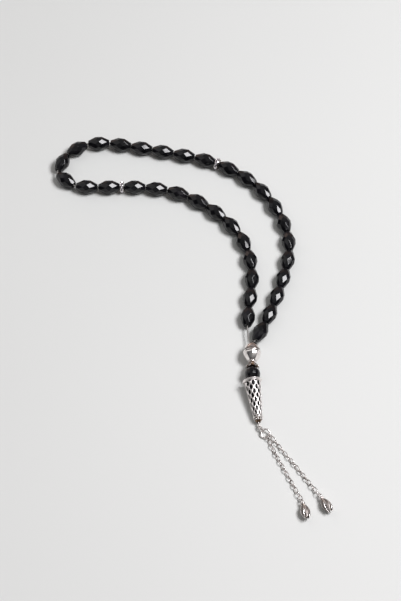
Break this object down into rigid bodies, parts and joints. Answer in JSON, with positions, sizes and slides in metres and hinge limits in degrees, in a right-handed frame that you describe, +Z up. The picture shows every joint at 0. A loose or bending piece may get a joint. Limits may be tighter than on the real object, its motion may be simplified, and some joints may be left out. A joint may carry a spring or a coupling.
{
  "type": "misbaha prayer beads",
  "caption": "Loop of faceted oval black beads on a silver cord with crystal spacers, closed by a silver leader, a lattice cone and chain tassels that end in leaf-bud charms.",
  "frame": {"origin": "middle of the laid-out object's footprint, on the table it lies on", "axes": "+Z up from the table, +Y from the charms towards the far side of the bead loop, +X to the right when seen from the charms' end"},
  "size_m": [0.1452, 0.2381, 0.0102],
  "materials": {
    "black_glass": "opaque black, cut in flat facets and polished",
    "silver": "polished silver plate, oxidised brown in the recesses",
    "crystal_silver": "silver rondelle set with small clear cut stones",
    "silver_cord": "twisted metallic thread"
  },
  "bodies": {
    "cord": {"cord_loop": "silver_cord", "cord_knot": "silver_cord"},
    "leader_cord": {"leader_cord": "silver_cord"},
    "leader_bead": {"leader_bead": "silver"},
    "flower_cap": {"leader_flower_cap": "silver"},
    "leader_ball": {"leader_ball": "black_glass"},
    "cone_pin": {"cone_pin": "silver"},
    "cone": {"cone_lattice": "silver", "cone_core": "black_glass", "cone_end_cap": "silver"},
    "connector_link_1": {"connector_link_1": "silver"},
    "connector_link_2": {"connector_link_2": "silver"},
    "tassel_ring": {"tassel_ring": "silver"},
    "chain_left_1": {"chain_left_1": "silver"},
    "chain_left_2": {"chain_left_2": "silver"},
    "chain_left_3": {"chain_left_3": "silver"},
    "chain_left_4": {"chain_left_4": "silver"},
    "charm_left": {"charm_left": "silver"},
    "chain_right_1": {"chain_right_1": "silver"},
    "chain_right_2": {"chain_right_2": "silver"},
    "chain_right_3": {"chain_right_3": "silver"},
    "chain_right_4": {"chain_right_4": "silver"},
    "charm_right": {"charm_right": "silver"},
    "spacer_1": {"spacer_1": "crystal_silver"},
    "spacer_2": {"spacer_2": "crystal_silver"},
    "bead_01": {"bead_01": "black_glass"},
    "bead_02": {"bead_02": "black_glass"},
    "bead_03": {"bead_03": "black_glass"},
    "bead_04": {"bead_04": "black_glass"},
    "bead_05": {"bead_05": "black_glass"},
    "bead_06": {"bead_06": "black_glass"},
    "bead_07": {"bead_07": "black_glass"},
    "bead_08": {"bead_08": "black_glass"},
    "bead_09": {"bead_09": "black_glass"},
    "bead_10": {"bead_10": "black_glass"},
    "bead_11": {"bead_11": "black_glass"},
    "bead_12": {"bead_12": "black_glass"},
    "bead_13": {"bead_13": "black_glass"},
    "bead_14": {"bead_14": "black_glass"},
    "bead_15": {"bead_15": "black_glass"},
    "bead_16": {"bead_16": "black_glass"},
    "bead_17": {"bead_17": "black_glass"},
    "bead_18": {"bead_18": "black_glass"},
    "bead_19": {"bead_19": "black_glass"},
    "bead_20": {"bead_20": "black_glass"},
    "bead_21": {"bead_21": "black_glass"},
    "bead_22": {"bead_22": "black_glass"},
    "bead_23": {"bead_23": "black_glass"},
    "bead_24": {"bead_24": "black_glass"},
    "bead_25": {"bead_25": "black_glass"},
    "bead_26": {"bead_26": "black_glass"},
    "bead_27": {"bead_27": "black_glass"},
    "bead_28": {"bead_28": "black_glass"},
    "bead_29": {"bead_29": "black_glass"},
    "bead_30": {"bead_30": "black_glass"},
    "bead_31": {"bead_31": "black_glass"},
    "bead_32": {"bead_32": "black_glass"},
    "bead_33": {"bead_33": "black_glass"}
  },
  "joints": [
    {"name": "leader_swing", "type": "hinge", "parent": "cord", "child": "leader_cord", "pos_m": [0.0347, -0.0209, 0.00503], "axis": [0, 0, 1], "range_deg": [-7, 7]},
    {"name": "cone_swing", "type": "hinge", "parent": "leader_cord", "child": "cone_pin", "pos_m": [0.0347, -0.0437, 0.00503], "axis": [0, 0, 1], "range_deg": [-10, 10]},
    {"name": "connector_1_swing", "type": "hinge", "parent": "cone_pin", "child": "connector_link_1", "pos_m": [0.03775, -0.06715, 0.00196], "axis": [0, 0, 1], "range_deg": [-20, 20]},
    {"name": "connector_2_swing", "type": "hinge", "parent": "connector_link_1", "child": "connector_link_2", "pos_m": [0.0383, -0.06792, 0.00211], "axis": [0, 0, 1], "range_deg": [-20, 20]},
    {"name": "ring_swing", "type": "hinge", "parent": "connector_link_2", "child": "tassel_ring", "pos_m": [0.03988, -0.06974, 0.00249], "axis": [0, 0, 1], "range_deg": [-20, 20]},
    {"name": "chain_left_1_bend", "type": "hinge", "parent": "tassel_ring", "child": "chain_left_1", "pos_m": [0.04157, -0.0725, 0.00096], "axis": [0, 0, 1], "range_deg": [-20, 5]},
    {"name": "chain_left_2_bend", "type": "hinge", "parent": "chain_left_1", "child": "chain_left_2", "pos_m": [0.04505, -0.08113, 0.00093], "axis": [0, 0, 1], "range_deg": [-20, 6]},
    {"name": "chain_left_3_bend", "type": "hinge", "parent": "chain_left_2", "child": "chain_left_3", "pos_m": [0.04922, -0.09007, 0.00093], "axis": [0, 0, 1], "range_deg": [-20, 10]},
    {"name": "chain_left_4_bend", "type": "hinge", "parent": "chain_left_3", "child": "chain_left_4", "pos_m": [0.05347, -0.09897, 0.00093], "axis": [0, 0, 1], "range_deg": [-20, 20]},
    {"name": "charm_left_swing", "type": "hinge", "parent": "chain_left_4", "child": "charm_left", "pos_m": [0.05745, -0.10792, 0.002], "axis": [0, 0, 1], "range_deg": [-25, 25]},
    {"name": "chain_right_1_bend", "type": "hinge", "parent": "tassel_ring", "child": "chain_right_1", "pos_m": [0.04288, -0.07111, 0.00153], "axis": [0, 0, 1], "range_deg": [0, 20]},
    {"name": "chain_right_2_bend", "type": "hinge", "parent": "chain_right_1", "child": "chain_right_2", "pos_m": [0.04807, -0.07881, 0.00093], "axis": [0, 0, 1], "range_deg": [-6, 20]},
    {"name": "chain_right_3_bend", "type": "hinge", "parent": "chain_right_2", "child": "chain_right_3", "pos_m": [0.05387, -0.08678, 0.00093], "axis": [0, 0, 1], "range_deg": [-9, 20]},
    {"name": "chain_right_4_bend", "type": "hinge", "parent": "chain_right_3", "child": "chain_right_4", "pos_m": [0.05945, -0.09491, 0.00093], "axis": [0, 0, 1], "range_deg": [-13, 20]},
    {"name": "charm_right_swing", "type": "hinge", "parent": "chain_right_4", "child": "charm_right", "pos_m": [0.06618, -0.10527, 0.002], "axis": [0, 0, 1], "range_deg": [-25, 25]},
    {"name": "leader_bead_spin", "type": "hinge", "parent": "leader_cord", "child": "leader_bead", "pos_m": [0.0347, -0.0209, 0.00503], "axis": [0, -1, 0], "continuous": true},
    {"name": "flower_cap_spin", "type": "hinge", "parent": "leader_cord", "child": "flower_cap", "pos_m": [0.0347, -0.0209, 0.00503], "axis": [0, -1, 0], "continuous": true},
    {"name": "leader_ball_spin", "type": "hinge", "parent": "leader_cord", "child": "leader_ball", "pos_m": [0.0347, -0.0209, 0.00503], "axis": [0, -1, 0], "continuous": true},
    {"name": "cone_spin", "type": "hinge", "parent": "cone_pin", "child": "cone", "pos_m": [0.0347, -0.0437, 0.00503], "axis": [0.1277, -0.9834, -0.1288], "continuous": true},
    {"name": "spacer_1_spin", "type": "hinge", "parent": "cord", "child": "spacer_1", "pos_m": [0.01764, 0.10071, 0.0037], "axis": [-0.8997, 0.4366, 0], "continuous": true},
    {"name": "spacer_2_spin", "type": "hinge", "parent": "cord", "child": "spacer_2", "pos_m": [-0.03488, 0.08438, 0.0037], "axis": [0.9999, -0.0157, 0], "continuous": true},
    {"name": "bead_01_spin", "type": "hinge", "parent": "cord", "child": "bead_01", "pos_m": [0.03924, -0.011, 0.0037], "axis": [0.4664, 0.8846, -0.0007], "continuous": true},
    {"name": "bead_02_spin", "type": "hinge", "parent": "cord", "child": "bead_02", "pos_m": [0.04428, 0.00008, 0.0037], "axis": [0.3633, 0.9317, 0], "continuous": true},
    {"name": "bead_03_spin", "type": "hinge", "parent": "cord", "child": "bead_03", "pos_m": [0.04841, 0.01143, 0.0037], "axis": [0.3211, 0.947, 0], "continuous": true},
    {"name": "bead_04_spin", "type": "hinge", "parent": "cord", "child": "bead_04", "pos_m": [0.05201, 0.02298, 0.0037], "axis": [0.2733, 0.9619, 0], "continuous": true},
    {"name": "bead_05_spin", "type": "hinge", "parent": "cord", "child": "bead_05", "pos_m": [0.05478, 0.03473, 0.0037], "axis": [0.1844, 0.9829, 0], "continuous": true},
    {"name": "bead_06_spin", "type": "hinge", "parent": "cord", "child": "bead_06", "pos_m": [0.05554, 0.04709, 0.0037], "axis": [-0.0655, 0.9979, 0], "continuous": true},
    {"name": "bead_07_spin", "type": "hinge", "parent": "cord", "child": "bead_07", "pos_m": [0.05336, 0.05918, 0.0037], "axis": [-0.2844, 0.9587, 0], "continuous": true},
    {"name": "bead_08_spin", "type": "hinge", "parent": "cord", "child": "bead_08", "pos_m": [0.04878, 0.07069, 0.0037], "axis": [-0.4521, 0.892, 0], "continuous": true},
    {"name": "bead_09_spin", "type": "hinge", "parent": "cord", "child": "bead_09", "pos_m": [0.04223, 0.08118, 0.0037], "axis": [-0.6037, 0.7972, 0], "continuous": true},
    {"name": "bead_10_spin", "type": "hinge", "parent": "cord", "child": "bead_10", "pos_m": [0.0338, 0.0901, 0.0037], "axis": [-0.7617, 0.6479, 0], "continuous": true},
    {"name": "bead_11_spin", "type": "hinge", "parent": "cord", "child": "bead_11", "pos_m": [0.02382, 0.09719, 0.0037], "axis": [-0.8619, 0.507, 0], "continuous": true},
    {"name": "bead_12_spin", "type": "hinge", "parent": "cord", "child": "bead_12", "pos_m": [0.01101, 0.10318, 0.0037], "axis": [-0.944, 0.3299, 0], "continuous": true},
    {"name": "bead_13_spin", "type": "hinge", "parent": "cord", "child": "bead_13", "pos_m": [-0.00077, 0.10657, 0.0037], "axis": [-0.9744, 0.225, 0], "continuous": true},
    {"name": "bead_14_spin", "type": "hinge", "parent": "cord", "child": "bead_14", "pos_m": [-0.01261, 0.10928, 0.0037], "axis": [-0.9751, 0.2216, 0], "continuous": true},
    {"name": "bead_15_spin", "type": "hinge", "parent": "cord", "child": "bead_15", "pos_m": [-0.02447, 0.11182, 0.0037], "axis": [-0.9803, 0.1977, 0], "continuous": true},
    {"name": "bead_16_spin", "type": "hinge", "parent": "cord", "child": "bead_16", "pos_m": [-0.03636, 0.11427, 0.0037], "axis": [-0.9788, 0.2048, 0], "continuous": true},
    {"name": "bead_17_spin", "type": "hinge", "parent": "cord", "child": "bead_17", "pos_m": [-0.04865, 0.11528, 0.0037], "axis": [-0.9989, -0.0466, 0], "continuous": true},
    {"name": "bead_18_spin", "type": "hinge", "parent": "cord", "child": "bead_18", "pos_m": [-0.06063, 0.1113, 0.0037], "axis": [-0.8213, -0.5705, 0], "continuous": true},
    {"name": "bead_19_spin", "type": "hinge", "parent": "cord", "child": "bead_19", "pos_m": [-0.06849, 0.10144, 0.0037], "axis": [-0.3689, -0.9295, 0], "continuous": true},
    {"name": "bead_20_spin", "type": "hinge", "parent": "cord", "child": "bead_20", "pos_m": [-0.06588, 0.08923, 0.0037], "axis": [0.7649, -0.6441, 0], "continuous": true},
    {"name": "bead_21_spin", "type": "hinge", "parent": "cord", "child": "bead_21", "pos_m": [-0.05417, 0.08439, 0.0037], "axis": [0.9963, -0.0864, 0], "continuous": true},
    {"name": "bead_22_spin", "type": "hinge", "parent": "cord", "child": "bead_22", "pos_m": [-0.04199, 0.08415, 0.0037], "axis": [0.999, 0.0436, 0], "continuous": true},
    {"name": "bead_23_spin", "type": "hinge", "parent": "cord", "child": "bead_23", "pos_m": [-0.02782, 0.08407, 0.0037], "axis": [0.9988, -0.0499, 0], "continuous": true},
    {"name": "bead_24_spin", "type": "hinge", "parent": "cord", "child": "bead_24", "pos_m": [-0.01582, 0.08296, 0.0037], "axis": [0.9908, -0.1353, 0], "continuous": true},
    {"name": "bead_25_spin", "type": "hinge", "parent": "cord", "child": "bead_25", "pos_m": [-0.00392, 0.07982, 0.0037], "axis": [0.9282, -0.372, 0], "continuous": true},
    {"name": "bead_26_spin", "type": "hinge", "parent": "cord", "child": "bead_26", "pos_m": [0.007, 0.07414, 0.0037], "axis": [0.8374, -0.5467, 0], "continuous": true},
    {"name": "bead_27_spin", "type": "hinge", "parent": "cord", "child": "bead_27", "pos_m": [0.01664, 0.06666, 0.0037], "axis": [0.7384, -0.6743, 0], "continuous": true},
    {"name": "bead_28_spin", "type": "hinge", "parent": "cord", "child": "bead_28", "pos_m": [0.02497, 0.05764, 0.0037], "axis": [0.6125, -0.7905, 0], "continuous": true},
    {"name": "bead_29_spin", "type": "hinge", "parent": "cord", "child": "bead_29", "pos_m": [0.03125, 0.04684, 0.0037], "axis": [0.3823, -0.9241, 0], "continuous": true},
    {"name": "bead_30_spin", "type": "hinge", "parent": "cord", "child": "bead_30", "pos_m": [0.03465, 0.03495, 0.0037], "axis": [0.1647, -0.9863, 0], "continuous": true},
    {"name": "bead_31_spin", "type": "hinge", "parent": "cord", "child": "bead_31", "pos_m": [0.03547, 0.02261, 0.0037], "axis": [-0.0345, -0.9994, 0], "continuous": true},
    {"name": "bead_32_spin", "type": "hinge", "parent": "cord", "child": "bead_32", "pos_m": [0.03429, 0.01043, 0.0037], "axis": [-0.1542, -0.988, 0], "continuous": true},
    {"name": "bead_33_spin", "type": "hinge", "parent": "cord", "child": "bead_33", "pos_m": [0.03297, -0.00163, 0.0037], "axis": [-0.0627, -0.998, 0], "continuous": true}
  ]
}
